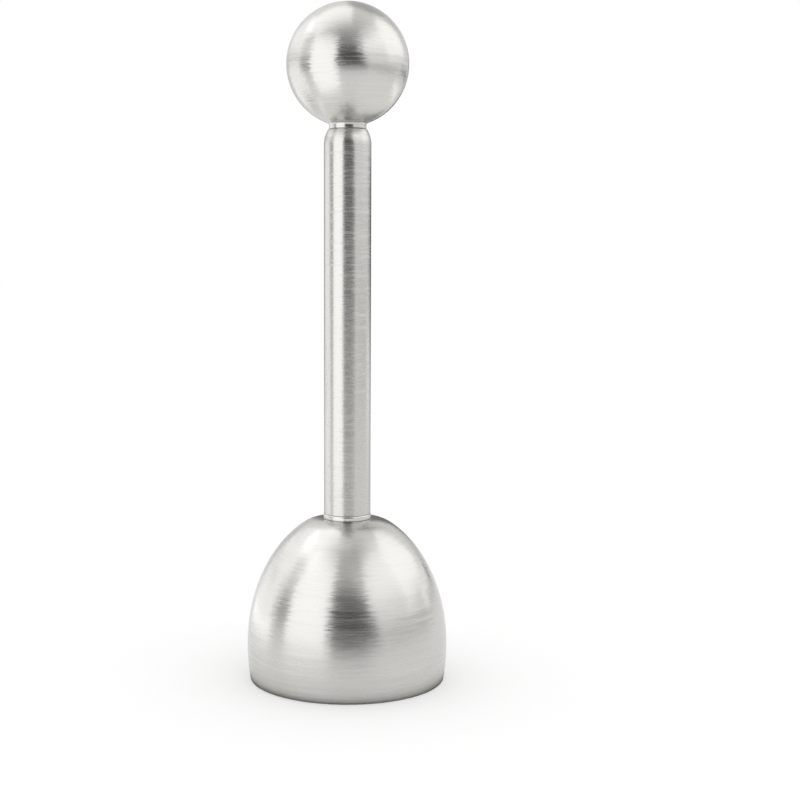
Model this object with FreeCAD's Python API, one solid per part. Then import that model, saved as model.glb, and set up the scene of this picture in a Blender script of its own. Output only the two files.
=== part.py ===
import FreeCAD
import Part
import math
import os

# Spring-loaded egg topper, in millimetres. The origin is the centre of the bell's rim, +Z runs up the handle.
# The ball is pulled up against the spring and let go, and the striker on its rod then hits the anvil over the bell.

# Bell: a drawn cup, widest a little above its rim, with a flat land on its crown.
BELL_RADIUS = 19.42         # at the widest place
BELL_WIDEST_HEIGHT = 6.70   # of that place above the rim
RIM_INSET = 0.56            # how far the rim turns in from there
DOME_RISE = 26.35           # half-height of the ellipse that the dome follows
BELL_WALL = 1.20
RIM_ROUND = 0.15
LAND_MARGIN = 0.16          # flat land that shows round the foot ring
LAND_BLEND = 4.045          # width of the bend from the land to the dome

# Pull rod, spring and the tube round them: each size leads to the next one outwards.
ROD_RADIUS = 1.50
ROD_PLAY = 0.05             # radial, in the guide bush and the thrust washer
SPRING_ROD_GAP = 0.90       # radial
WIRE_DIAMETER = 0.80
ACTIVE_COILS = 29
CLOSED_COILS = 1            # at each end
CLOSED_PITCH = 1.04         # of a closed coil, in wire diameters
SPRING_TUBE_GAP = 0.55      # radial
TUBE_WALL = 0.75
TUBE_LENGTH = 73.36
NECK_INSET = 0.86           # how far the tube's end is drawn in
SWAGE_RADIUS = 5.30         # of the shoulder that draws it in
MOUTH_ROUND = 0.15          # of the tube's drawn-in end
FOOT_ROUND = 0.06           # of its other end, on the foot ring

# Plug in the foot of the tube: foot ring, anvil and stud.
RING_OVERHANG = 0.12        # past the tube's wall
RING_HEIGHT = 1.00
RING_TOP_ROUND = 0.35
RING_FOOT_ROUND = 0.10
PLUG_FIT = 0.02             # radial, in the tube
PLUG_HEIGHT = 8.00          # from the ring to the anvil's face
STUD_RADIUS = 2.00
STUD_HOLE_PLAY = 0.10       # radial, in the bell and the lock washer

# Lock washer and cap nut inside the bell.
LOCK_WASHER_WIDTH = 1.70
LOCK_WASHER_HEIGHT = 0.90
LOCK_WASHER_SLOT = 0.60
SLOT_SLANT = 35.0           # degrees from upright
NUT_ACROSS_FLATS = 7.00
NUT_HEX_HEIGHT = 3.20
NUT_CROWN_HEIGHT = 4.80
NUT_WALL_OVER_STUD = 1.20
THREAD_PLAY = 0.02          # radial, between plain threads

# Guide bush and the spring's two seats.
BUSH_LENGTH = 8.00          # from its foot to the recess under the neck
BUSH_RECESS = 0.35
BUSH_FIT = 0.03             # radial, in the tube
SEAT_HEIGHT = 0.50
THRUST_HEIGHT = 0.60
SEAT_PLAY = 0.15            # radial, in the tube

# Striker: head, cross pin and ball. Its stroke ends where the spring's coils meet.
HEAD_HEIGHT = 12.00
HEAD_PLAY = 0.10            # radial, in the tube
HEAD_FLOOR = 3.00           # solid steel under the rod
PIN_RADIUS = 0.75
PIN_WALL = 0.28
PIN_SLOT = 0.45
PIN_HEIGHT = 7.50           # above the strike face
PIN_RECESS = 0.35           # of each end, under the head's surface
PIN_PLAY = 0.01             # radial
BALL_RADIUS = 11.55
COLLAR_RADIUS = 3.53
COLLAR_LENGTH = 1.02        # from its face to the ball's own sphere
COLLAR_FILLET = 0.50
COLLAR_ROUND = 0.12
COLLAR_GAP = 0.04           # over the tube's end when the striker rests on the anvil
BALL_BORE_DEPTH = 9.00
ROD_END_GAP = 0.30          # over the rod's tip in the ball

EDGE_CHAMFER = 0.30         # on hidden turned pieces

# Places and sizes that follow.
SPRING_RADIUS = ROD_RADIUS + SPRING_ROD_GAP + WIRE_DIAMETER / 2
TUBE_BORE = SPRING_RADIUS + WIRE_DIAMETER / 2 + SPRING_TUBE_GAP
TUBE_RADIUS = TUBE_BORE + TUBE_WALL
RING_RADIUS = TUBE_RADIUS + RING_OVERHANG
LAND_RADIUS = RING_RADIUS + LAND_MARGIN
BLEND_START = LAND_RADIUS + LAND_BLEND


def dome_height(radius, wall=0.0):
    """Height of the dome's ellipse at a radius, for the outside or a wall's thickness inside it."""
    share = radius / (BELL_RADIUS - wall)
    return BELL_WIDEST_HEIGHT + (DOME_RISE - wall) * math.sqrt(1 - share ** 2)


def blend_turn():
    """Slope of the dome where the bend to the land starts, in radians below level."""
    rise = dome_height(BLEND_START) - BELL_WIDEST_HEIGHT
    return math.atan((DOME_RISE / BELL_RADIUS) ** 2 * BLEND_START / rise)


BLEND_RADIUS = LAND_BLEND / math.sin(blend_turn())
CROWN_Z = dome_height(BLEND_START) + BLEND_RADIUS * (1 - math.cos(blend_turn()))
LOCK_WASHER_RADIUS = STUD_RADIUS + STUD_HOLE_PLAY + LOCK_WASHER_WIDTH
INNER_CROWN_Z = min(CROWN_Z - BELL_WALL, dome_height(LOCK_WASHER_RADIUS + LAND_MARGIN, BELL_WALL))

NUT_TOP_Z = INNER_CROWN_Z - LOCK_WASHER_HEIGHT
NUT_FOOT_Z = NUT_TOP_Z - NUT_HEX_HEIGHT - NUT_CROWN_HEIGHT
TUBE_FOOT_Z = CROWN_Z + RING_HEIGHT
ANVIL_Z = TUBE_FOOT_Z + PLUG_HEIGHT
TUBE_TOP_Z = TUBE_FOOT_Z + TUBE_LENGTH
SWAGE_RISE = math.sqrt(SWAGE_RADIUS ** 2 - (SWAGE_RADIUS - NECK_INSET) ** 2)
SWAGE_CENTRE = (TUBE_RADIUS - SWAGE_RADIUS, TUBE_TOP_Z - SWAGE_RISE)
BUSH_TOP_Z = TUBE_TOP_Z - BUSH_RECESS
BUSH_FOOT_Z = BUSH_TOP_Z - BUSH_LENGTH
SPRING_TOP_Z = BUSH_FOOT_Z - SEAT_HEIGHT
HEAD_TOP_Z = ANVIL_Z + HEAD_HEIGHT
SPRING_FOOT_Z = HEAD_TOP_Z + THRUST_HEIGHT
SOLID_SPRING = (ACTIVE_COILS + 2 * CLOSED_COILS + 1) * WIRE_DIAMETER
STROKE = SPRING_TOP_Z - SPRING_FOOT_Z - SOLID_SPRING
COLLAR_Z = TUBE_TOP_Z + COLLAR_GAP
BALL_Z = COLLAR_Z + COLLAR_LENGTH + math.sqrt(BALL_RADIUS ** 2 - COLLAR_RADIUS ** 2)
ROD_FOOT_Z = ANVIL_Z + HEAD_FLOOR
ROD_TOP_Z = COLLAR_Z + BALL_BORE_DEPTH - ROD_END_GAP


def at(radius, height):
    return FreeCAD.Vector(radius, 0, height)


def line(start, end):
    return Part.makeLine(at(*start), at(*end))


def on_arc(centre, radius, angle):
    """Point on a circle, its angle in radians from straight outwards towards up."""
    return (centre[0] + radius * math.cos(angle), centre[1] + radius * math.sin(angle))


def arc(centre, radius, start, end):
    points = [at(*on_arc(centre, radius, angle)) for angle in (start, (start + end) / 2, end)]
    return Part.Arc(*points).toShape()


def spin(edges):
    """Solid of revolution about the tool's axis, from the edges of half a section."""
    solid = Part.Face(Part.Wire(edges)).revolve(at(0, 0), FreeCAD.Vector(0, 0, 1), 360)
    if solid.Volume < 0:
        solid.reverse()
    return solid


def turned(corners):
    """Solid of revolution whose half section is a polygon of (radius, height) corners."""
    following = corners[1:] + corners[:1]
    return spin([line(a, b) for a, b in zip(corners, following)])


def washer(inner_radius, outer_radius, foot, height):
    top = foot + height
    return turned([(inner_radius, foot), (outer_radius, foot), (outer_radius, top), (inner_radius, top)])


def round_edges(solid, rings, radius):
    """Fillet the circular edges that lie at the given (radius, height) rings."""
    def lies_on_a_ring(edge):
        if edge.Degenerated or not isinstance(edge.Curve, Part.Circle):
            return False
        place = (edge.Curve.Radius, edge.Curve.Center.z)
        return any(math.dist(place, ring) < 0.001 for ring in rings)
    return solid.makeFillet(radius, [edge for edge in solid.Edges if lies_on_a_ring(edge)])


def dome_edge(wall, top_angle):
    """Stretch of the dome's ellipse from its widest place up to an angle, cut from a stretched unit circle."""
    stretch = FreeCAD.Matrix()
    stretch.A11 = BELL_RADIUS - wall
    stretch.A33 = DOME_RISE - wall
    stretch.A34 = BELL_WIDEST_HEIGHT
    return arc((0, 0), 1, 0, top_angle).transformGeometry(stretch)


def bell():
    skirt_radius = (BELL_WIDEST_HEIGHT ** 2 + RIM_INSET ** 2) / (2 * RIM_INSET)
    skirt_centre = (BELL_RADIUS - skirt_radius, BELL_WIDEST_HEIGHT)
    outer_drop = -math.asin(BELL_WIDEST_HEIGHT / skirt_radius)
    inner_drop = -math.asin(BELL_WIDEST_HEIGHT / (skirt_radius - BELL_WALL))
    outer_rim = on_arc(skirt_centre, skirt_radius, outer_drop)
    inner_rim = on_arc(skirt_centre, skirt_radius - BELL_WALL, inner_drop)
    outer_angle = math.acos(BLEND_START / BELL_RADIUS)
    inner_angle = math.asin((INNER_CROWN_Z - BELL_WIDEST_HEIGHT) / (DOME_RISE - BELL_WALL))
    inner_land = ((BELL_RADIUS - BELL_WALL) * math.cos(inner_angle), INNER_CROWN_Z)
    hole = STUD_RADIUS + STUD_HOLE_PLAY
    shell = spin([
        arc(skirt_centre, skirt_radius, outer_drop, 0),
        dome_edge(0, outer_angle),
        arc((LAND_RADIUS, CROWN_Z - BLEND_RADIUS), BLEND_RADIUS, math.pi / 2 - blend_turn(), math.pi / 2),
        line((LAND_RADIUS, CROWN_Z), (hole, CROWN_Z)),
        line((hole, CROWN_Z), (hole, INNER_CROWN_Z)),
        line((hole, INNER_CROWN_Z), inner_land),
        dome_edge(BELL_WALL, inner_angle),
        arc(skirt_centre, skirt_radius - BELL_WALL, inner_drop, 0),
        line(inner_rim, outer_rim),
    ])
    return round_edges(shell, [outer_rim, inner_rim], RIM_ROUND)


def handle_tube():
    inner_swage = SWAGE_RADIUS - TUBE_WALL
    outer_angle = math.asin(SWAGE_RISE / SWAGE_RADIUS)
    inner_angle = math.asin(SWAGE_RISE / inner_swage)
    outer_mouth = on_arc(SWAGE_CENTRE, SWAGE_RADIUS, outer_angle)
    inner_mouth = on_arc(SWAGE_CENTRE, inner_swage, inner_angle)
    swage_foot = SWAGE_CENTRE[1]
    tube = spin([
        line((TUBE_RADIUS, TUBE_FOOT_Z), (TUBE_RADIUS, swage_foot)),
        arc(SWAGE_CENTRE, SWAGE_RADIUS, 0, outer_angle),
        line(outer_mouth, inner_mouth),
        arc(SWAGE_CENTRE, inner_swage, 0, inner_angle),
        line((TUBE_BORE, swage_foot), (TUBE_BORE, TUBE_FOOT_Z)),
        line((TUBE_BORE, TUBE_FOOT_Z), (TUBE_RADIUS, TUBE_FOOT_Z)),
    ])
    rounded = round_edges(tube, [outer_mouth], MOUTH_ROUND)
    return round_edges(rounded, [(TUBE_RADIUS, TUBE_FOOT_Z)], FOOT_ROUND)


def foot_plug():
    """Turned plug: the stud, the ring that shows under the tube, and the anvil inside the tube."""
    stud_foot = NUT_FOOT_Z + NUT_WALL_OVER_STUD + NUT_CROWN_HEIGHT / 2
    stud_tip = STUD_RADIUS - EDGE_CHAMFER
    plug = TUBE_BORE - PLUG_FIT
    solid = turned([
        (0, stud_foot),
        (stud_tip, stud_foot),
        (STUD_RADIUS, stud_foot + EDGE_CHAMFER),
        (STUD_RADIUS, CROWN_Z),
        (RING_RADIUS, CROWN_Z),
        (RING_RADIUS, TUBE_FOOT_Z),
        (plug, TUBE_FOOT_Z),
        (plug, ANVIL_Z - EDGE_CHAMFER),
        (plug - EDGE_CHAMFER, ANVIL_Z),
        (0, ANVIL_Z),
    ])
    top_round = min(RING_TOP_ROUND, RING_HEIGHT - 2 * RING_FOOT_ROUND)
    rounded = round_edges(solid, [(RING_RADIUS, CROWN_Z)], RING_FOOT_ROUND)
    return round_edges(rounded, [(RING_RADIUS, TUBE_FOOT_Z)], top_round)


def lock_washer():
    """Split ring, its slot cut on the slant."""
    hole = STUD_RADIUS + STUD_HOLE_PLAY
    ring = washer(hole, LOCK_WASHER_RADIUS, NUT_TOP_Z, LOCK_WASHER_HEIGHT)
    cutter = Part.makeBox(LOCK_WASHER_RADIUS, LOCK_WASHER_SLOT, 4 * LOCK_WASHER_HEIGHT)
    cutter.translate(FreeCAD.Vector(0, -LOCK_WASHER_SLOT / 2, -2 * LOCK_WASHER_HEIGHT))
    cutter.rotate(at(0, 0), FreeCAD.Vector(1, 0, 0), SLOT_SLANT)
    cutter.translate(at(0, NUT_TOP_Z + LOCK_WASHER_HEIGHT / 2))
    return ring.cut(cutter)


def cap_nut():
    """Closed nut, hexagon up against the washer and round crown down."""
    corner_radius = NUT_ACROSS_FLATS / 2 / math.cos(math.pi / 6)
    hex_foot = NUT_TOP_Z - NUT_HEX_HEIGHT
    chamfer = corner_radius - NUT_ACROSS_FLATS / 2
    corners = [on_arc((0, 0), corner_radius, math.pi / 3 * side) for side in range(7)]
    hexagon = Part.makePolygon([FreeCAD.Vector(x, y, hex_foot) for x, y in corners])
    prism = Part.Face(hexagon).extrude(at(0, NUT_HEX_HEIGHT))
    blank = turned([
        (0, hex_foot),
        (corner_radius - chamfer, hex_foot),
        (corner_radius, hex_foot + chamfer / 2),
        (corner_radius, NUT_TOP_Z - chamfer / 2),
        (corner_radius - chamfer, NUT_TOP_Z),
        (0, NUT_TOP_Z),
    ])
    crown_radius = min(NUT_ACROSS_FLATS / 2 - EDGE_CHAMFER, NUT_CROWN_HEIGHT)
    crown_centre = (0, NUT_FOOT_Z + crown_radius)
    crown = spin([
        line((0, hex_foot), (crown_radius, hex_foot)),
        line((crown_radius, hex_foot), (crown_radius, crown_centre[1])),
        arc(crown_centre, crown_radius, 0, -math.pi / 2),
        line((0, NUT_FOOT_Z), (0, hex_foot)),
    ])
    thread_foot = NUT_FOOT_Z + NUT_WALL_OVER_STUD
    thread = Part.makeCylinder(STUD_RADIUS + THREAD_PLAY, NUT_TOP_Z - thread_foot, at(0, thread_foot))
    return prism.common(blank).fuse(crown).cut(thread).removeSplitter()


def guide_bush():
    """Bush that fills the swaged neck and guides the rod."""
    body = TUBE_BORE - BUSH_FIT
    nose_radius = SWAGE_RADIUS - TUBE_WALL - BUSH_FIT
    swage_foot = SWAGE_CENTRE[1]
    nose_angle = math.asin((BUSH_TOP_Z - swage_foot) / nose_radius)
    nose = on_arc(SWAGE_CENTRE, nose_radius, nose_angle)
    hole = ROD_RADIUS + ROD_PLAY
    return spin([
        line((hole, BUSH_FOOT_Z), (body, BUSH_FOOT_Z)),
        line((body, BUSH_FOOT_Z), (body, swage_foot)),
        arc(SWAGE_CENTRE, nose_radius, 0, nose_angle),
        line(nose, (hole, BUSH_TOP_Z)),
        line((hole, BUSH_TOP_Z), (hole, BUSH_FOOT_Z)),
    ])


def upper_spring_seat():
    return washer(ROD_RADIUS + 2 * ROD_PLAY, TUBE_BORE - SEAT_PLAY, SPRING_TOP_Z, SEAT_HEIGHT)


def thrust_washer():
    return washer(ROD_RADIUS + ROD_PLAY, TUBE_BORE - SEAT_PLAY, HEAD_TOP_Z, THRUST_HEIGHT)


def return_spring():
    """Compression spring with closed ends, swept in one go along its three stretches of helix."""
    closed_pitch = CLOSED_PITCH * WIRE_DIAMETER
    closed_rise = closed_pitch * CLOSED_COILS
    active_rise = SPRING_TOP_Z - SPRING_FOOT_Z - WIRE_DIAMETER - 2 * closed_rise
    stretches = [(closed_pitch, closed_rise), (active_rise / ACTIVE_COILS, active_rise), (closed_pitch, closed_rise)]
    height = SPRING_FOOT_Z + WIRE_DIAMETER / 2
    edges = []
    for pitch, rise in stretches:
        helix = Part.makeHelix(pitch, rise, SPRING_RADIUS)
        helix.Placement = FreeCAD.Placement(at(0, height), FreeCAD.Rotation())
        edges += helix.Edges
        height += rise
    first = edges[0]
    start = first.valueAt(first.FirstParameter)
    section = Part.makeCircle(WIRE_DIAMETER / 2, start, first.tangentAt(first.FirstParameter))
    return Part.Wire(edges).makePipeShell([Part.Wire([section])], True, True)


def cross_pin_blank(radius, length):
    """Cylinder along X through the striker's axis, at the pin's height."""
    start = FreeCAD.Vector(-length / 2, 0, ANVIL_Z + PIN_HEIGHT)
    return Part.makeCylinder(radius, length, start, FreeCAD.Vector(1, 0, 0))


def striker_head():
    radius = TUBE_BORE - HEAD_PLAY
    slug = turned([
        (0, ANVIL_Z),
        (radius - EDGE_CHAMFER, ANVIL_Z),
        (radius, ANVIL_Z + EDGE_CHAMFER),
        (radius, HEAD_TOP_Z - EDGE_CHAMFER),
        (radius - EDGE_CHAMFER, HEAD_TOP_Z),
        (0, HEAD_TOP_Z),
    ])
    bore = Part.makeCylinder(ROD_RADIUS + THREAD_PLAY, HEAD_TOP_Z - ROD_FOOT_Z, at(0, ROD_FOOT_Z))
    return slug.cut(bore).cut(cross_pin_blank(PIN_RADIUS, 2 * radius))


def pull_rod():
    tip = ROD_RADIUS - EDGE_CHAMFER
    rod = turned([
        (0, ROD_FOOT_Z),
        (tip, ROD_FOOT_Z),
        (ROD_RADIUS, ROD_FOOT_Z + EDGE_CHAMFER),
        (ROD_RADIUS, ROD_TOP_Z - EDGE_CHAMFER),
        (tip, ROD_TOP_Z),
        (0, ROD_TOP_Z),
    ])
    return rod.cut(cross_pin_blank(PIN_RADIUS, 2 * ROD_RADIUS))


def striker_pin():
    """Slotted spring pin, its slot facing up."""
    length = 2 * (TUBE_BORE - HEAD_PLAY - PIN_RECESS)
    outer = PIN_RADIUS - PIN_PLAY
    tube = cross_pin_blank(outer, length).cut(cross_pin_blank(outer - PIN_WALL, length))
    corner = FreeCAD.Vector(-length / 2, -PIN_SLOT / 2, ANVIL_Z + PIN_HEIGHT)
    return tube.cut(Part.makeBox(length, PIN_SLOT, PIN_RADIUS, corner))


def ball_knob():
    """Ball and collar in one piece, with the blind bore that the rod screws into."""
    filleted = BALL_RADIUS + COLLAR_FILLET
    fillet_x = COLLAR_RADIUS + COLLAR_FILLET
    lean = math.asin(fillet_x / filleted)
    fillet_centre = (fillet_x, BALL_Z - filleted * math.cos(lean))
    ball = spin([
        line((0, COLLAR_Z), (COLLAR_RADIUS, COLLAR_Z)),
        line((COLLAR_RADIUS, COLLAR_Z), (COLLAR_RADIUS, fillet_centre[1])),
        arc(fillet_centre, COLLAR_FILLET, math.pi, math.pi / 2 + lean),
        arc((0, BALL_Z), BALL_RADIUS, lean - math.pi / 2, math.pi / 2),
        line((0, BALL_Z + BALL_RADIUS), (0, COLLAR_Z)),
    ])
    bore = Part.makeCylinder(ROD_RADIUS + THREAD_PLAY, BALL_BORE_DEPTH, at(0, COLLAR_Z))
    return round_edges(ball, [(COLLAR_RADIUS, COLLAR_Z)], COLLAR_ROUND).cut(bore)


PIECES = (bell, handle_tube, foot_plug, lock_washer, cap_nut, guide_bush, upper_spring_seat, return_spring,
          thrust_washer, striker_head, pull_rod, striker_pin, ball_knob)


def main():
    os.makedirs("parts", exist_ok=True)
    for make_piece in PIECES:
        solid = make_piece()
        solid.exportStep(f"parts/{make_piece.__name__}.step")
        print(f"{make_piece.__name__}: {solid.Volume:.1f} mm3")
    print(f"stroke until the spring is solid: {STROKE:.2f} mm")


main()
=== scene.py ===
import math
from functools import partial

import bmesh
import bpy
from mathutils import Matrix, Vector


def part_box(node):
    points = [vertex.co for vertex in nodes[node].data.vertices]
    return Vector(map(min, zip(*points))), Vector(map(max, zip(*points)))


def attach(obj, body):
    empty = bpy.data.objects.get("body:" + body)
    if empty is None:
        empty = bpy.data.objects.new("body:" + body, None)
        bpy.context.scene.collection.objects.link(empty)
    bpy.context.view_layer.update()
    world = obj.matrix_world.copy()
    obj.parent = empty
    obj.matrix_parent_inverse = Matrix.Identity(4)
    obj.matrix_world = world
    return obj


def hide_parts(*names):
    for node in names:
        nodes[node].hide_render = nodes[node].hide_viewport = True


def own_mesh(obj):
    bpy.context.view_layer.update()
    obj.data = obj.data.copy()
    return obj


mm = 0.001
mergeDistance = 0.0005 * mm
sharpAngle = math.radians(35)

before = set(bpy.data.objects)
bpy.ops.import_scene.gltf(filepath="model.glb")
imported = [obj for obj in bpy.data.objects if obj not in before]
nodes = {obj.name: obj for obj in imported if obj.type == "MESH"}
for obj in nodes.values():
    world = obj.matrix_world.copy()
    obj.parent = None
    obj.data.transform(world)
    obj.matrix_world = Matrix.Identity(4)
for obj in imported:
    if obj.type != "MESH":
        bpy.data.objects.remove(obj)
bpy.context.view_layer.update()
print("frame loaded")


# helpers for node trees

def addNode(tree, kind, **settings):
    node = tree.nodes.new(kind)
    for name, value in settings.items():
        setattr(node, name, value)
    return node


def plug(tree, source, target):
    # source is an output socket or a plain value
    if isinstance(source, bpy.types.NodeSocket):
        tree.links.new(source, target)
    else:
        target.default_value = source


def calc(tree, operation, a, b=0.0, c=0.0):
    node = addNode(tree, "ShaderNodeMath", operation=operation)
    for value, socket in zip((a, b, c), node.inputs):
        plug(tree, value, socket)
    return node.outputs[0]


def vector(tree, x, y, z=0.0):
    node = addNode(tree, "ShaderNodeCombineXYZ")
    for value, socket in zip((x, y, z), node.inputs):
        plug(tree, value, socket)
    return node.outputs[0]


def newTree(name, kind, inputs, outputs):
    tree = bpy.data.node_groups.new(name, kind)
    for label, socketType, value in inputs:
        socket = tree.interface.new_socket(label, in_out="INPUT", socket_type=socketType)
        if value is not None:
            socket.default_value = value
    for label, socketType in outputs:
        tree.interface.new_socket(label, in_out="OUTPUT", socket_type=socketType)
    given = addNode(tree, "NodeGroupInput").outputs
    out = addNode(tree, "NodeGroupOutput").inputs
    return tree, given, out


# the finish that the steel pieces share

lineLayers = {   # shares of a finish's line width and line length, and where in the noise the layer starts
    "fine": {"width": 1.0, "length": 0.5, "detail": 1.0, "start": 0.0},
    "long": {"width": 2.3, "length": 1.5, "detail": 0.0, "start": 37.0},
    "broad": {"width": 8.0, "length": 2.5, "detail": 0.0, "start": 71.0},
    "dashes": {"width": 1.0, "length": 0.18, "detail": 1.0, "start": 13.0},
}
lineMix = {
    "longTone": 0.8,          # shares of the layers in the tone
    "broadTone": 0.3,
    "dashPitch": 0.6,         # and in the lean across the lines
    "longPitch": 0.5,
    "noiseRoughness": 0.6,
    "driftScale": 90.0,       # of the slow noise that lets the lines wander
    "driftDetail": 1.0,
}


def makeTurnedLines():
    # fine lines that a belt leaves on a piece that turns in the lathe, round the tool's axis
    tree, given, out = newTree("turnedLines", "ShaderNodeTree", [
        ("Centre Height", "NodeSocketFloat", 0.0),
        ("Dome Radius", "NodeSocketFloat", 0.0),
        ("Line Width", "NodeSocketFloat", 0.25 * mm),
        ("Line Length", "NodeSocketFloat", 6 * mm),
        ("Wander", "NodeSocketFloat", 0.1 * mm),
        ("Tilt Along", "NodeSocketFloat", 0.2),
        ("Tilt Across", "NodeSocketFloat", 0.1),
    ], [
        ("Normal", "NodeSocketVector"),
        ("Tone", "NodeSocketFloat"),
    ])
    op = partial(calc, tree)

    # how far along its outline a point lies: by height, or by arc on a dome
    place = addNode(tree, "ShaderNodeTexCoord").outputs["Object"]
    parts = addNode(tree, "ShaderNodeSeparateXYZ")
    plug(tree, place, parts.inputs[0])
    x, y, z = parts.outputs
    reach = op("SQRT", op("MULTIPLY_ADD", x, x, op("MULTIPLY", y, y)))
    rise = op("SUBTRACT", z, given["Centre Height"])
    onDome = op("MULTIPLY", op("ARCTAN2", rise, reach), given["Dome Radius"])
    isDome = op("GREATER_THAN", given["Dome Radius"], 0.0)
    chosen = addNode(tree, "ShaderNodeMix", data_type="FLOAT")   # its two values are inputs 2 and 3
    plug(tree, isDome, chosen.inputs[0])
    plug(tree, rise, chosen.inputs[2])
    plug(tree, onDome, chosen.inputs[3])

    drift = addNode(tree, "ShaderNodeTexNoise")
    plug(tree, place, drift.inputs["Vector"])
    drift.inputs["Scale"].default_value = lineMix["driftScale"]
    drift.inputs["Detail"].default_value = lineMix["driftDetail"]

    def centred(value):
        # noise runs from 0 to 1
        return op("SUBTRACT", value, 0.5)

    along = op("MULTIPLY_ADD", centred(drift.outputs[0]), given["Wander"], chosen.outputs[0])

    def lines(name):
        layer = lineLayers[name]
        width = op("MULTIPLY", given["Line Width"], layer["width"])
        length = op("MULTIPLY", given["Line Length"], layer["length"])
        across = op("ADD", op("DIVIDE", along, width), layer["start"])
        noise = addNode(tree, "ShaderNodeTexNoise")
        where = vector(tree, op("DIVIDE", x, length), op("DIVIDE", y, length), across)
        plug(tree, where, noise.inputs["Vector"])
        noise.inputs["Scale"].default_value = 1.0
        noise.inputs["Detail"].default_value = layer["detail"]
        noise.inputs["Roughness"].default_value = lineMix["noiseRoughness"]
        return noise.outputs

    fine = centred(lines("fine")[0])
    long = centred(lines("long")[0])
    broad = centred(lines("broad")[0])
    tone = op("MULTIPLY_ADD", long, lineMix["longTone"], fine)
    tone = op("MULTIPLY_ADD", broad, lineMix["broadTone"], tone)
    plug(tree, tone, out["Tone"])

    # short dashes that lean along the lines and across them
    dashes = addNode(tree, "ShaderNodeSeparateColor")
    plug(tree, lines("dashes")["Color"], dashes.inputs[0])
    lean = op("MULTIPLY", centred(dashes.outputs[0]), given["Tilt Along"])
    pitch = op("MULTIPLY", long, lineMix["longPitch"])
    pitch = op("MULTIPLY_ADD", centred(dashes.outputs[1]), lineMix["dashPitch"], pitch)
    pitch = op("MULTIPLY", pitch, given["Tilt Across"])

    def blend(operation, a, b):
        node = addNode(tree, "ShaderNodeVectorMath", operation=operation)
        plug(tree, a, node.inputs[0])
        plug(tree, b, node.inputs[1])
        return node.outputs[0]

    def scaled(a, share):
        node = addNode(tree, "ShaderNodeVectorMath", operation="SCALE")
        plug(tree, a, node.inputs[0])
        plug(tree, share, node.inputs["Scale"])
        return node.outputs[0]

    facing = addNode(tree, "ShaderNodeNewGeometry").outputs["Normal"]
    sideways = blend("CROSS_PRODUCT", (0, 0, 1), facing)
    upwards = blend("CROSS_PRODUCT", facing, sideways)
    leant = blend("ADD", blend("ADD", facing, scaled(sideways, lean)), scaled(upwards, pitch))
    unit = addNode(tree, "ShaderNodeVectorMath", operation="NORMALIZE")
    plug(tree, leant, unit.inputs[0])
    plug(tree, unit.outputs[0], out["Normal"])
    return tree


turnedLines = makeTurnedLines()
toneSpread = 0.2        # of the base colour, to each side
glossTurn = 0.25        # a quarter turn, so that reflections stretch across the lines


def steel(name, look):
    material = bpy.data.materials.new(name)
    material.use_nodes = True
    tree = material.node_tree
    shader = tree.nodes["Principled BSDF"]
    shader.inputs["Metallic"].default_value = 1.0
    shader.inputs["Anisotropic"].default_value = look["anisotropy"]
    shader.inputs["Anisotropic Rotation"].default_value = glossTurn
    shader.inputs["Specular Tint"].default_value = (*[look["edgeTint"]] * 3, 1)
    lines = addNode(tree, "ShaderNodeGroup", node_tree=turnedLines)
    for socket in lines.inputs:
        # "Line Width" is lineWidth in the look
        key = socket.name[0].lower() + socket.name[1:].replace(" ", "")
        socket.default_value = look[key]
    tone = lines.outputs["Tone"]
    colour = addNode(tree, "ShaderNodeMix", data_type="RGBA")   # its two colours are inputs 6 and 7
    plug(tree, calc(tree, "MULTIPLY_ADD", tone, look["toneDepth"], 0.5), colour.inputs[0])
    colour.inputs[6].default_value = (*[c * (1 - toneSpread) for c in look["colour"]], 1)
    colour.inputs[7].default_value = (*[c * (1 + toneSpread) for c in look["colour"]], 1)
    plug(tree, colour.outputs[2], shader.inputs["Base Color"])
    coarser = calc(tree, "MAXIMUM", tone, 0.0)
    roughness = calc(tree, "MULTIPLY_ADD", coarser, look["roughnessDepth"], look["roughness"])
    plug(tree, roughness, shader.inputs["Roughness"])
    plug(tree, lines.outputs["Normal"], shader.inputs["Normal"])
    return material


def steelLook(**changes):
    look = {
        "colour": (0.600, 0.592, 0.570),
        "roughness": 0.305,
        "roughnessDepth": 0.14,
        "edgeTint": 0.85,
        "anisotropy": 0.72,
        "toneDepth": 0.4,
        "centreHeight": 0.0,
        "domeRadius": 0.0,
        "lineWidth": 0.17 * mm,
        "lineLength": 8 * mm,
        "tiltAlong": 0.28,
        "tiltAcross": 0.15,
        "wander": 0.06 * mm,
    }
    look.update(changes)
    return look


def dress(node, material):
    mesh = nodes[node].data
    mesh.materials.clear()
    mesh.materials.append(material)


# helpers for pieces made by node trees

def addTreeModifier(piece, tree, values):
    modifier = piece.modifiers.new("tree", "NODES")
    modifier.node_group = tree
    for item in tree.interface.items_tree:
        if item.in_out == "INPUT" and item.name in values:
            modifier[item.identifier] = values[item.name]


def settle(piece):
    # turns the modifier's result into the piece's own plain mesh, closed and facing outwards
    evaluated = piece.evaluated_get(bpy.context.evaluated_depsgraph_get())
    mesh = bpy.data.meshes.new_from_object(evaluated)
    piece.modifiers.clear()
    piece.data = mesh
    shape = bmesh.new()
    shape.from_mesh(mesh)
    bmesh.ops.remove_doubles(shape, verts=shape.verts, dist=mergeDistance)
    bmesh.ops.recalc_face_normals(shape, faces=shape.faces)
    shape.to_mesh(mesh)
    shape.free()
    mesh.set_sharp_from_angle(angle=sharpAngle)


def newPiece(name):
    piece = bpy.data.objects.new(name, bpy.data.meshes.new(name))
    bpy.context.scene.collection.objects.link(piece)
    return piece


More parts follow.
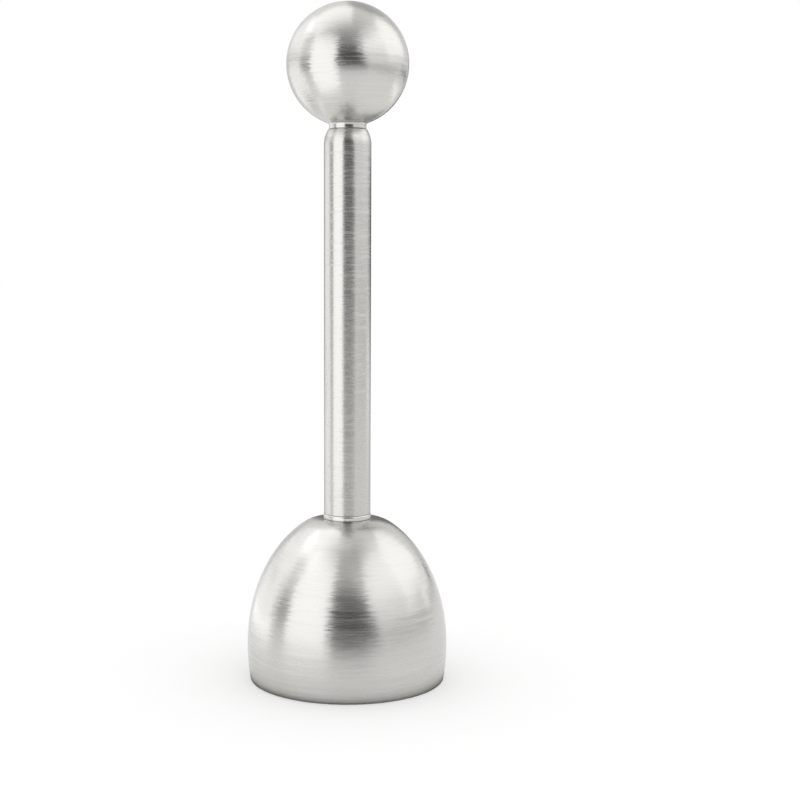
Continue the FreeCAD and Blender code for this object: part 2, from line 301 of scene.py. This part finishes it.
def finishTree(tree, geometry, material, out):
    smooth = addNode(tree, "GeometryNodeSetShadeSmooth")
    plug(tree, geometry, smooth.inputs["Geometry"])
    real = addNode(tree, "GeometryNodeRealizeInstances")
    plug(tree, smooth.outputs[0], real.inputs[0])
    painted = addNode(tree, "GeometryNodeSetMaterial")
    plug(tree, real.outputs[0], painted.inputs["Geometry"])
    painted.inputs["Material"].default_value = material
    plug(tree, painted.outputs[0], out["Geometry"])


# the bell

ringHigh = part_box("foot_plug")[1]
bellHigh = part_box("bell")[1]
bell = {
    "Radius": bellHigh.x,
    "Widest Height": 6.70 * mm,
    "Rim Inset": 0.56 * mm,
    "Rim Round": 0.15 * mm,
    "Dome Rise": 26.35 * mm,
    "Wall": 1.20 * mm,
    "Land Radius": ringHigh.x + 0.16 * mm,
    "Land Blend": 4.045 * mm,
    "Hole Radius": 2.10 * mm,
    "Steps Round": 288,
}
bellSteps = {"rim": 7, "skirt": 14, "dome": 72, "blend": 16, "innerDome": 56, "innerSkirt": 12}
bellFinish = steel("brushedBell", steelLook(
    centreHeight=6 * mm,
    domeRadius=bell["Radius"],
    roughness=0.25,
    roughnessDepth=0.18,
    edgeTint=0.92,
    toneDepth=0.26,
    tiltAlong=0.13,
    tiltAcross=0.09,
    lineWidth=0.21 * mm,
    lineLength=15 * mm,
))


def makeBellTree():
    # the cup's half section, arc by arc, swept round the axis
    labels = [label for label in bell if label != "Steps Round"]
    tree, given, out = newTree(
        "drawnCup", "GeometryNodeTree",
        [(label, "NodeSocketFloat", None) for label in labels] + [("Steps Round", "NodeSocketInt", None)],
        [("Geometry", "NodeSocketGeometry")])
    op = partial(calc, tree)
    radius, widest, inset, rimRound, rise, wall, land, blend, hole = [given[label] for label in labels]
    quarter = math.pi / 2

    # skirt: one arc from the widest place down to the rim
    skirt = op("MULTIPLY_ADD", widest, widest, op("MULTIPLY", inset, inset))
    skirt = op("DIVIDE", skirt, op("MULTIPLY", inset, 2.0))
    skirtX = op("SUBTRACT", radius, skirt)
    skirtInside = op("SUBTRACT", skirt, wall)
    roundDrop = op("SUBTRACT", widest, rimRound)

    def rimArc(reach):
        # where a rounding touches the skirt: its angle below level, and its centre's distance from the axis
        angle = op("ARCSINE", op("DIVIDE", roundDrop, reach))
        return angle, op("MULTIPLY_ADD", op("COSINE", angle), reach, skirtX)

    outerAngle, outerX = rimArc(op("SUBTRACT", skirt, rimRound))
    innerAngle, innerX = rimArc(op("ADD", skirtInside, rimRound))

    # dome: an ellipse, with a bend that leads to the flat land on its crown
    blendStart = op("ADD", land, blend)
    share = op("DIVIDE", blendStart, radius)
    domeTurn = op("ARCCOSINE", share)
    blendRise = op("MULTIPLY", rise, op("SINE", domeTurn))
    ratio = op("DIVIDE", rise, radius)
    slope = op("MULTIPLY", op("MULTIPLY", ratio, ratio), blendStart)
    slope = op("ARCTANGENT", op("DIVIDE", slope, blendRise))
    blendRadius = op("DIVIDE", blend, op("SINE", slope))
    crown = op("MULTIPLY", blendRadius, op("SUBTRACT", 1.0, op("COSINE", slope)))
    crown = op("ADD", op("ADD", widest, blendRise), crown)
    innerCrown = op("SUBTRACT", crown, wall)
    innerRadius = op("SUBTRACT", radius, wall)
    innerRise = op("SUBTRACT", rise, wall)
    innerTurn = op("ARCSINE", op("DIVIDE", op("SUBTRACT", innerCrown, widest), innerRise))
    innerLand = op("MULTIPLY", innerRadius, op("COSINE", innerTurn))

    section = addNode(tree, "GeometryNodeJoinGeometry")

    def addArc(steps, centreX, centreZ, size, start, sweep, stretch=None):
        curve = addNode(tree, "GeometryNodeCurveArc")
        curve.inputs["Resolution"].default_value = bellSteps[steps]
        plug(tree, size, curve.inputs["Radius"])
        plug(tree, start, curve.inputs["Start Angle"])
        plug(tree, sweep, curve.inputs["Sweep Angle"])
        place = addNode(tree, "GeometryNodeTransform")
        plug(tree, curve.outputs[0], place.inputs["Geometry"])
        plug(tree, vector(tree, centreX, centreZ), place.inputs["Translation"])
        if stretch:
            plug(tree, vector(tree, *stretch, 1.0), place.inputs["Scale"])
        tree.links.new(place.outputs[0], section.inputs[0])

    def addLine(startX, startZ, endX, endZ):
        curve = addNode(tree, "GeometryNodeCurvePrimitiveLine")
        plug(tree, vector(tree, startX, startZ), curve.inputs["Start"])
        plug(tree, vector(tree, endX, endZ), curve.inputs["End"])
        tree.links.new(curve.outputs[0], section.inputs[0])

    minusOuter = op("MULTIPLY", outerAngle, -1.0)
    minusInner = op("MULTIPLY", innerAngle, -1.0)
    fromInner = op("SUBTRACT", math.pi, innerAngle)
    fromSlope = op("SUBTRACT", quarter, slope)
    blendCentre = op("SUBTRACT", crown, blendRadius)
    addArc("rim", outerX, rimRound, rimRound, -quarter, op("SUBTRACT", quarter, outerAngle))
    addArc("skirt", skirtX, widest, skirt, minusOuter, outerAngle)
    addArc("dome", 0.0, widest, 1.0, 0.0, domeTurn, (radius, rise))
    addArc("blend", land, blendCentre, blendRadius, fromSlope, slope)
    addLine(land, crown, hole, crown)
    addLine(hole, crown, hole, innerCrown)
    addLine(hole, innerCrown, innerLand, innerCrown)
    addArc("innerDome", 0.0, widest, 1.0, 0.0, innerTurn, (innerRadius, innerRise))
    addArc("innerSkirt", skirtX, widest, skirtInside, minusInner, innerAngle)
    addArc("rim", innerX, rimRound, rimRound, fromInner, op("ADD", quarter, innerAngle))
    addLine(innerX, 0.0, outerX, 0.0)

    # a sweep carries the section's X outwards from its path and its Y down
    pathRadius = 1 * mm
    turned = addNode(tree, "GeometryNodeTransform")
    plug(tree, section.outputs[0], turned.inputs["Geometry"])
    turned.inputs["Translation"].default_value = (-pathRadius, 0, 0)
    turned.inputs["Scale"].default_value = (1, -1, 1)
    path = addNode(tree, "GeometryNodeCurvePrimitiveCircle")
    plug(tree, given["Steps Round"], path.inputs["Resolution"])
    path.inputs["Radius"].default_value = pathRadius
    sweep = addNode(tree, "GeometryNodeCurveToMesh")
    plug(tree, path.outputs[0], sweep.inputs["Curve"])
    plug(tree, turned.outputs[0], sweep.inputs["Profile Curve"])
    merged = addNode(tree, "GeometryNodeMergeByDistance")
    plug(tree, sweep.outputs[0], merged.inputs["Geometry"])
    merged.inputs["Distance"].default_value = mergeDistance
    finishTree(tree, merged.outputs[0], bellFinish, out)
    return tree


def makeBell():
    piece = newPiece("drawnBell")
    addTreeModifier(piece, makeBellTree(), bell)
    settle(piece)
    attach(piece, "handle")
    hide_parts("bell")


makeBell()
print("bell made")


# the spring

springLow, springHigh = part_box("return_spring")
spring = {
    "Outer Radius": springHigh.x,
    "Foot Height": springLow.z,
    "Top Height": springHigh.z,
    "Wire Diameter": 0.80 * mm,
    "Closed Pitch": 0.832 * mm,
    "Closed Coils": 1.0,      # at each end
    "Active Coils": 29.0,
    "Steps Per Coil": 36,
    "Steps Round Wire": 14,
}
springFinish = steel("springWire", steelLook())


def makeSpringTree():
    # a helix whose coils close up at both ends, swept by the wire's section
    integers = ("Steps Per Coil", "Steps Round Wire")
    tree, given, out = newTree(
        "coilSpring", "GeometryNodeTree",
        [(label, "NodeSocketInt" if label in integers else "NodeSocketFloat", None) for label in spring],
        [("Geometry", "NodeSocketGeometry")])
    op = partial(calc, tree)

    wire = given["Wire Diameter"]
    halfWire = op("MULTIPLY", wire, 0.5)
    mean = op("SUBTRACT", given["Outer Radius"], halfWire)
    coils = op("MULTIPLY_ADD", given["Closed Coils"], 2.0, given["Active Coils"])
    rise = op("SUBTRACT", op("SUBTRACT", given["Top Height"], given["Foot Height"]), wire)
    extra = op("SUBTRACT", rise, op("MULTIPLY", coils, given["Closed Pitch"]))
    openPitch = op("DIVIDE", extra, given["Active Coils"])   # over the closed pitch

    steps = op("MULTIPLY_ADD", coils, given["Steps Per Coil"], 1.0)
    base = addNode(tree, "GeometryNodeCurvePrimitiveLine")
    points = addNode(tree, "GeometryNodeResampleCurve")
    plug(tree, base.outputs[0], points.inputs["Curve"])
    plug(tree, steps, points.inputs["Count"])
    index = addNode(tree, "GeometryNodeInputIndex").outputs[0]
    turn = op("DIVIDE", index, given["Steps Per Coil"])
    angle = op("MULTIPLY", turn, 2 * math.pi)
    active = op("MAXIMUM", op("SUBTRACT", turn, given["Closed Coils"]), 0.0)
    active = op("MINIMUM", active, given["Active Coils"])
    height = op("ADD", given["Foot Height"], halfWire)
    height = op("MULTIPLY_ADD", turn, given["Closed Pitch"], height)
    height = op("MULTIPLY_ADD", active, openPitch, height)
    placed = addNode(tree, "GeometryNodeSetPosition")
    plug(tree, points.outputs[0], placed.inputs["Geometry"])
    x = op("MULTIPLY", mean, op("COSINE", angle))
    y = op("MULTIPLY", mean, op("SINE", angle))
    plug(tree, vector(tree, x, y, height), placed.inputs["Position"])
    section = addNode(tree, "GeometryNodeCurvePrimitiveCircle")
    plug(tree, given["Steps Round Wire"], section.inputs["Resolution"])
    plug(tree, halfWire, section.inputs["Radius"])
    sweep = addNode(tree, "GeometryNodeCurveToMesh")
    plug(tree, placed.outputs[0], sweep.inputs["Curve"])
    plug(tree, section.outputs[0], sweep.inputs["Profile Curve"])
    sweep.inputs["Fill Caps"].default_value = True
    finishTree(tree, sweep.outputs[0], springFinish, out)
    return tree


def makeSpring():
    piece = newPiece("coiledSpring")
    addTreeModifier(piece, makeSpringTree(), spring)
    settle(piece)
    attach(piece, "handle")
    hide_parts("return_spring")
    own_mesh(piece)


makeSpring()
print("spring made")


# finishes of the other pieces

tube = steelLook(
    roughness=0.27,
    roughnessDepth=0.40,
    edgeTint=0.6,
    toneDepth=0.10,
    tiltAlong=0.10,
    lineWidth=0.18 * mm,
    lineLength=4 * mm,
)
dress("handle_tube", steel("brushedTube", tube))

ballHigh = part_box("ball_knob")[1]
ball = steelLook(
    centreHeight=ballHigh.z - ballHigh.x,
    domeRadius=ballHigh.x,
    roughness=0.24,
    roughnessDepth=0.22,
    edgeTint=0.9,
    toneDepth=0.35,
    tiltAlong=0.19,
    tiltAcross=0.10,
)
dress("ball_knob", steel("brushedBall", ball))

footRing = steelLook(
    roughness=0.16,
    anisotropy=0.3,
    toneDepth=0.3,
    tiltAlong=0.03,
    tiltAcross=0.05,
)
dress("foot_plug", steel("turnedRing", footRing))

rod = steelLook(
    roughness=0.18,
    anisotropy=0.4,
    toneDepth=0.3,
    tiltAlong=0.03,
    tiltAcross=0.05,
    lineWidth=0.12 * mm,
)
dress("pull_rod", steel("groundRod", rod))

plainParts = steelLook(roughness=0.26, anisotropy=0.3, tiltAlong=0.05, tiltAcross=0.1)
plainFinish = steel("plainSteel", plainParts)
for node in ("lock_washer", "cap_nut", "upper_spring_seat", "thrust_washer", "striker_head", "striker_pin"):
    dress(node, plainFinish)

bush = steelLook(colour=(0.80, 0.62, 0.32), roughness=0.24, anisotropy=0.4)
dress("guide_bush", steel("brassBush", bush))
print("finishes made")


# the studio; its sizes are in metres

def newStagePiece(name, corners, faces):
    mesh = bpy.data.meshes.new(name)
    mesh.from_pydata(corners, [], faces)
    piece = bpy.data.objects.new(name, mesh)
    bpy.context.scene.collection.objects.link(piece)
    return piece


def upright(azimuth, distance, along, height):
    # a point on an upright plane that faces the tool's axis; azimuth in degrees from the front, towards +X
    angle = math.radians(azimuth)
    x = math.sin(angle) * distance + math.cos(angle) * along
    y = -math.cos(angle) * distance + math.sin(angle) * along
    return Vector((x, y, height))


floorLook = {"halfSize": 2.0, "grey": 0.88, "glow": 0.12}


def addFloor():
    size = floorLook["halfSize"]
    corners = [(-size, -size, 0), (size, -size, 0), (size, size, 0), (-size, size, 0)]
    floor = newStagePiece("studioFloor", corners, [(0, 1, 2, 3)])
    material = bpy.data.materials.new("paleFloor")
    material.use_nodes = True
    tree = material.node_tree
    shader = tree.nodes["Principled BSDF"]
    shader.inputs["Base Color"].default_value = (*[floorLook["grey"]] * 3, 1)
    shader.inputs["Roughness"].default_value = 1.0
    shader.inputs["Specular IOR Level"].default_value = 0.0
    # a slight glow that the camera and reflections see, and the tool's shading doesn't
    rays = addNode(tree, "ShaderNodeLightPath")
    seen = calc(tree, "MAXIMUM", rays.outputs["Is Camera Ray"], rays.outputs["Is Glossy Ray"])
    seen = calc(tree, "MAXIMUM", seen, rays.outputs["Is Transmission Ray"])
    shader.inputs["Emission Color"].default_value = (1, 1, 1, 1)
    plug(tree, calc(tree, "MULTIPLY", seen, floorLook["glow"]), shader.inputs["Emission Strength"])
    floor.data.materials.append(material)


def setWorld():
    world = bpy.data.worlds.new("studioWorld")
    bpy.context.scene.world = world
    world.use_nodes = True
    background = world.node_tree.nodes["Background"]
    background.inputs[0].default_value = (1, 1, 1, 1)
    background.inputs[1].default_value = 1.0


addFloor()
setWorld()

wattsPerArea = 4.0      # of a lamp whose level is 1
softboxes = {
    "softboxLeftFront": {"azimuth": -44.5, "distance": 0.101, "low": 0.0, "high": 0.228,
                         "width": 0.104, "level": 0.44},
    "softboxLeftLow": {"azimuth": -118.3, "distance": 0.168, "low": 0.0, "high": 0.125,
                       "width": 0.182, "level": 0.31},
    "softboxLeftFloor": {"azimuth": -115, "distance": 0.085, "low": 0.001, "high": 0.009,
                         "width": 0.075, "level": 0.60},
    "softboxLeftBack": {"azimuth": -122.4, "distance": 0.267, "low": 0.188, "high": 0.40,
                        "width": 0.254, "level": 0.34},
    "softboxRight": {"azimuth": 107.8, "distance": 0.90, "low": 0.275, "high": 1.45,
                     "width": 0.89, "level": 0.46},
    "softboxRightFront": {"azimuth": 54.8, "distance": 0.864, "low": 0.395, "high": 1.555,
                          "width": 0.915, "level": 0.37},
    "softboxRightLow": {"azimuth": 122, "distance": 0.20, "low": 0.025, "high": 0.055,
                        "width": 0.11, "level": 0.42},
}
overhead = {"centre": (-0.316, 0.104, 0.697), "width": 0.75, "height": 0.57, "level": 0.52}
floorFill = {"azimuth": 40, "distance": 0.80, "low": 0.05, "high": 1.4, "width": 1.6, "level": 0.13}


def addSoftbox(name, centre, aim, width, height, level, seen=True):
    # a lamp that is seen shows in reflections and lights nothing else, and the other kind is the reverse
    lamp = bpy.data.lights.new(name, "AREA")
    lamp.shape = "RECTANGLE"
    lamp.size = width
    lamp.size_y = height
    lamp.energy = level * wattsPerArea * width * height
    holder = bpy.data.objects.new(name, lamp)
    holder.location = centre
    holder.rotation_euler = aim.to_track_quat("-Z", "Y").to_euler()
    holder.visible_camera = False
    holder.visible_diffuse = not seen
    holder.visible_glossy = seen
    bpy.context.scene.collection.objects.link(holder)


def addUprightSoftbox(name, azimuth, distance, low, high, width, level, seen=True):
    centre = upright(azimuth, distance, 0, (low + high) / 2)
    addSoftbox(name, centre, Vector((-centre.x, -centre.y, 0)), width, high - low, level, seen)


for name, place in softboxes.items():
    addUprightSoftbox(name, **place)
addSoftbox("softboxOverhead", Vector(overhead["centre"]), Vector((0, 0, -1)),
           overhead["width"], overhead["height"], overhead["level"])
addUprightSoftbox("floorFill", **floorFill, seen=False)


# grey gauzes that hang between the tool and the white surroundings. Level is what a gauze lets through,
# foot and top are the left and right ends of its lower and upper edge, and fades are the shares of its
# width and height over which its sides, top and foot thin out

uprightFlags = {
    "flagFront": {"azimuth": 8.1, "distance": 0.5623, "low": 0, "high": 0.75,
                  "foot": (-0.382, 0.388), "top": (-0.293, -0.14), "level": 0.0, "fades": (0.03, 0.66, 0.0)},
    "flagFrontLow": {"azimuth": 4.6, "distance": 0.075, "low": 0.001, "high": 0.011,
                     "foot": (-0.030, 0.030), "level": 0.40, "fades": (0.3, 0.4, 0.3)},
    "flagLeft": {"azimuth": -87, "distance": 0.51, "low": 0, "high": 0.194,
                 "foot": (-0.128, 0.128), "level": 0.36, "fades": (0.02, 0.02, 0.35)},
    "flagRightBack": {"azimuth": 134, "distance": 1.0, "low": 0.03, "high": 0.125,
                      "foot": (-0.29, 0.29), "level": 0.05, "fades": (0.1, 0.1, 0.1)},
    "flagRightLow": {"azimuth": 65.4, "distance": 0.53, "low": 0, "high": 0.062,
                     "foot": (-0.6, 0.78), "level": 0.24, "fades": (0.02, 0.02, 0.0)},
    "flagBack": {"azimuth": 183.8, "distance": 0.459, "low": 0, "high": 0.194,
                 "foot": (-0.35, 0.35), "level": 0.79, "fades": (0.02, 0.02, 0.0)},
    "flagBackNarrow": {"azimuth": 174.5, "distance": 0.44, "low": 0, "high": 0.22,
                       "foot": (-0.11, 0.11), "level": 0.25, "fades": (0.15, 0.2, 0.0)},
    "flagBackRight": {"azimuth": 163, "distance": 0.345, "low": 0.15, "high": 0.78,
                      "foot": (-0.10, 0.115), "top": (-0.27, 0.115), "level": 0.52, "fades": (0.1, 0.15, 0.45)},
    "flagTubeEdge": {"azimuth": 149, "distance": 0.0219, "low": 0.056, "high": 0.1025,
                     "foot": (-0.0078, 0.0078), "level": 0.34, "fades": (0.22, 0.08, 0.45)},
}
levelFlags = {   # corners as seen from above, anticlockwise from the front left
    "flagOverhead": {
        "height": 0.212,
        "corners": ((-0.09, -0.20), (0.105, -0.20), (0.105, 0.02), (-0.17, 0.02)),
        "level": 0.45,
        "fades": (0.36, 0.5, 0.5),
    },
    "flagLeftUnder": {
        "height": 0.045,
        "corners": ((-0.15, 0.015), (-0.045, 0.015), (-0.045, 0.11), (-0.15, 0.11)),
        "level": 0.80,
        "fades": (0.3, 0.3, 0.3),
    },
}
# painted contact shadow on the floor, seen only in reflections: a ring that darkens towards the bell's foot
floorGauze = {"inner": 18.9 * mm, "outer": 40 * mm, "steps": 96, "height": 0.05 * mm,
              "depth": 0.90, "fade": 1.3 * mm}


def weaveGauze(piece, makeLevel):
    # cloth that only reflections see, for the flags and for the painted floor shadow; makeLevel builds what it
    # lets through
    piece.visible_camera = False
    piece.visible_diffuse = False
    piece.visible_shadow = False
    material = bpy.data.materials.new(piece.name)
    material.use_nodes = True
    tree = material.node_tree
    tree.nodes.clear()
    cloth = addNode(tree, "ShaderNodeBsdfTransparent")
    plug(tree, makeLevel(tree), cloth.inputs[0])
    output = addNode(tree, "ShaderNodeOutputMaterial")
    tree.links.new(cloth.outputs[0], output.inputs[0])
    piece.data.materials.append(material)


def addFlag(name, corners, level, fades):
    flag = newStagePiece(name, corners, [(0, 1, 2, 3)])
    layer = flag.data.uv_layers.new(name="uv")
    for loop, place in zip(layer.data, ((0, 0), (1, 0), (1, 1), (0, 1))):
        loop.uv = place

    def makeLevel(tree):
        parts = addNode(tree, "ShaderNodeSeparateXYZ")
        plug(tree, addNode(tree, "ShaderNodeTexCoord").outputs["UV"], parts.inputs[0])
        u, v = parts.outputs[0], parts.outputs[1]
        sides, top, foot = fades
        mask = calc(tree, "DIVIDE", calc(tree, "MINIMUM", u, calc(tree, "SUBTRACT", 1.0, u)), sides)
        mask = calc(tree, "MINIMUM", mask, calc(tree, "DIVIDE", calc(tree, "SUBTRACT", 1.0, v), top))
        if foot:
            mask = calc(tree, "MINIMUM", mask, calc(tree, "DIVIDE", v, foot))
        mask = calc(tree, "MINIMUM", mask, 1.0)
        return calc(tree, "SUBTRACT", 1.0, calc(tree, "MULTIPLY", mask, 1.0 - level))

    weaveGauze(flag, makeLevel)


def addUprightFlag(name, azimuth, distance, low, high, foot, level, fades, top=None):
    top = top or foot
    corners = [upright(azimuth, distance, along, height) for along, height in
               ((foot[0], low), (foot[1], low), (top[1], high), (top[0], high))]
    addFlag(name, corners, level, fades)


def addPaintedFloorShadow():
    # painted contact shadow: a ring just above the floor that only reflections see, darkest beside the bell
    steps = floorGauze["steps"]
    corners = []
    for reach in (floorGauze["inner"], floorGauze["outer"]):
        for step in range(steps):
            angle = 2 * math.pi * step / steps
            corners.append((reach * math.cos(angle), reach * math.sin(angle), floorGauze["height"]))
    faces = [(step, (step + 1) % steps, steps + (step + 1) % steps, steps + step) for step in range(steps)]
    shadowSheet = newStagePiece("floorGauze", corners, faces)

    def makeLevel(tree):
        length = addNode(tree, "ShaderNodeVectorMath", operation="LENGTH")
        plug(tree, addNode(tree, "ShaderNodeTexCoord").outputs["Object"], length.inputs[0])
        away = calc(tree, "SUBTRACT", floorGauze["inner"], length.outputs["Value"])
        shade = calc(tree, "EXPONENT", calc(tree, "DIVIDE", away, floorGauze["fade"]))
        return calc(tree, "SUBTRACT", 1.0, calc(tree, "MULTIPLY", shade, floorGauze["depth"]))

    weaveGauze(shadowSheet, makeLevel)


for name, place in uprightFlags.items():
    addUprightFlag(name, **place)
for name, place in levelFlags.items():
    addFlag(name, [(x, y, place["height"]) for x, y in place["corners"]], place["level"], place["fades"])
addPaintedFloorShadow()


# the camera

shot = {
    "lens": 68.5,
    "shift": 0.0656,
    "distance": 291.08 * mm,
    "height": 86.61 * mm,
    "downwards": 6.316,     # degrees
    "roll": -0.067,         # degrees
}


def addCamera():
    data = bpy.data.cameras.new("camera")
    data.lens = shot["lens"]
    data.shift_x = shot["shift"]
    camera = bpy.data.objects.new("camera", data)
    camera.location = (0, -shot["distance"], shot["height"])
    camera.rotation_euler = (math.radians(90 - shot["downwards"]), math.radians(shot["roll"]), 0)
    bpy.context.scene.collection.objects.link(camera)
    bpy.context.scene.camera = camera


addCamera()
bpy.context.scene.view_settings.view_transform = "Standard"
print("studio made")
